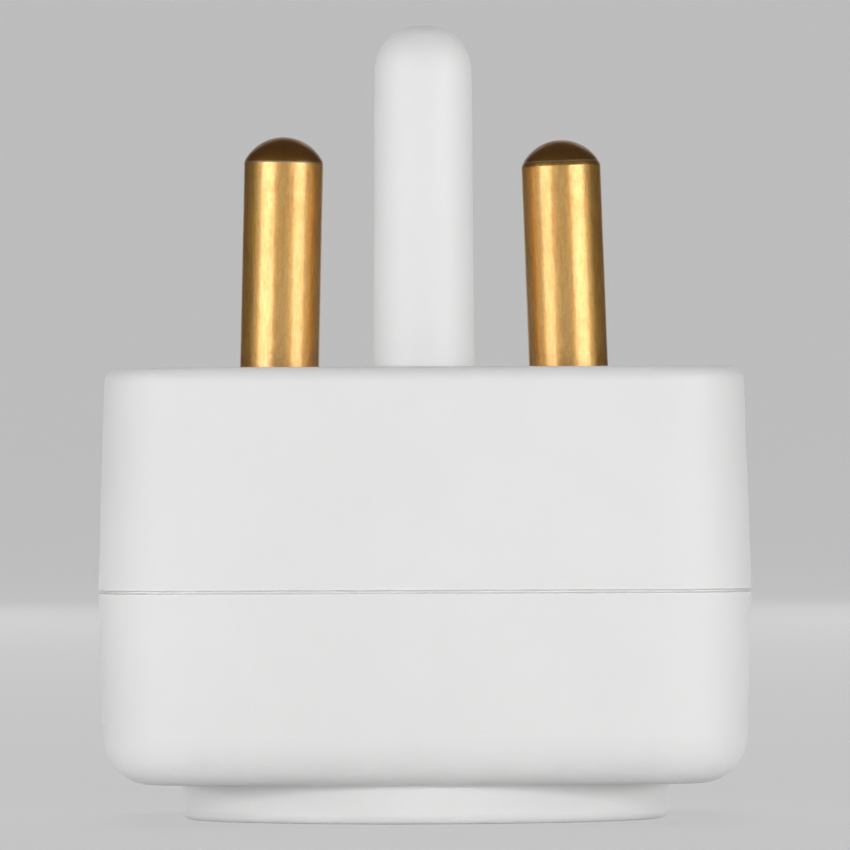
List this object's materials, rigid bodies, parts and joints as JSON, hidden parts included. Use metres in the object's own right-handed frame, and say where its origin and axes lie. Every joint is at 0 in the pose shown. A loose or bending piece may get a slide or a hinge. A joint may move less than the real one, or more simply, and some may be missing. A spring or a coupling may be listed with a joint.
{
  "type": "double socket adapter",
  "caption": "White travel adapter with two brass pins and a plastic earth pin, and a round raised face with two flat two-pin outlets.",
  "frame": {"origin": "centre of the socket face that it stands on", "axes": "+Z along the plug pins, away from the socket face; -Y towards the earth pin; +X towards the line pin"},
  "size_m": [0.0562, 0.0562, 0.0687],
  "materials": {
    "white_shell": "fine matt moulded surface",
    "white_pin": "smooth matt moulded surface",
    "brass_pin": "turned, worn and slightly mottled",
    "contacts": "rolled strip",
    "screw_steel": "bright zinc",
    "inner_plastic": "plain moulded"
  },
  "bodies": {
    "root": {"pin_shell": "white_shell", "socket_shell": "white_shell", "earth_pin": "white_pin", "line_pin": "brass_pin", "neutral_pin": "brass_pin", "pin_retainer": "inner_plastic", "contact_carrier": "inner_plastic", "neutral_busbar": "contacts", "neutral_terminal_screw": "screw_steel", "neutral_spring_washer": "screw_steel", "neutral_contact_front": "contacts", "neutral_rivet_front": "contacts", "neutral_contact_rear": "contacts", "neutral_rivet_rear": "contacts", "line_busbar": "contacts", "line_terminal_screw": "screw_steel", "line_spring_washer": "screw_steel", "line_contact_front": "contacts", "line_rivet_front": "contacts", "line_contact_rear": "contacts", "line_rivet_rear": "contacts", "carrier_screw_front": "screw_steel", "case_screw_front_left": "screw_steel", "case_screw_front_right": "screw_steel", "carrier_screw_rear": "screw_steel", "case_screw_rear_left": "screw_steel", "case_screw_rear_right": "screw_steel", "retainer_screw_rear": "screw_steel", "retainer_screw_left": "screw_steel", "retainer_screw_right": "screw_steel"}
  },
  "joints": []
}
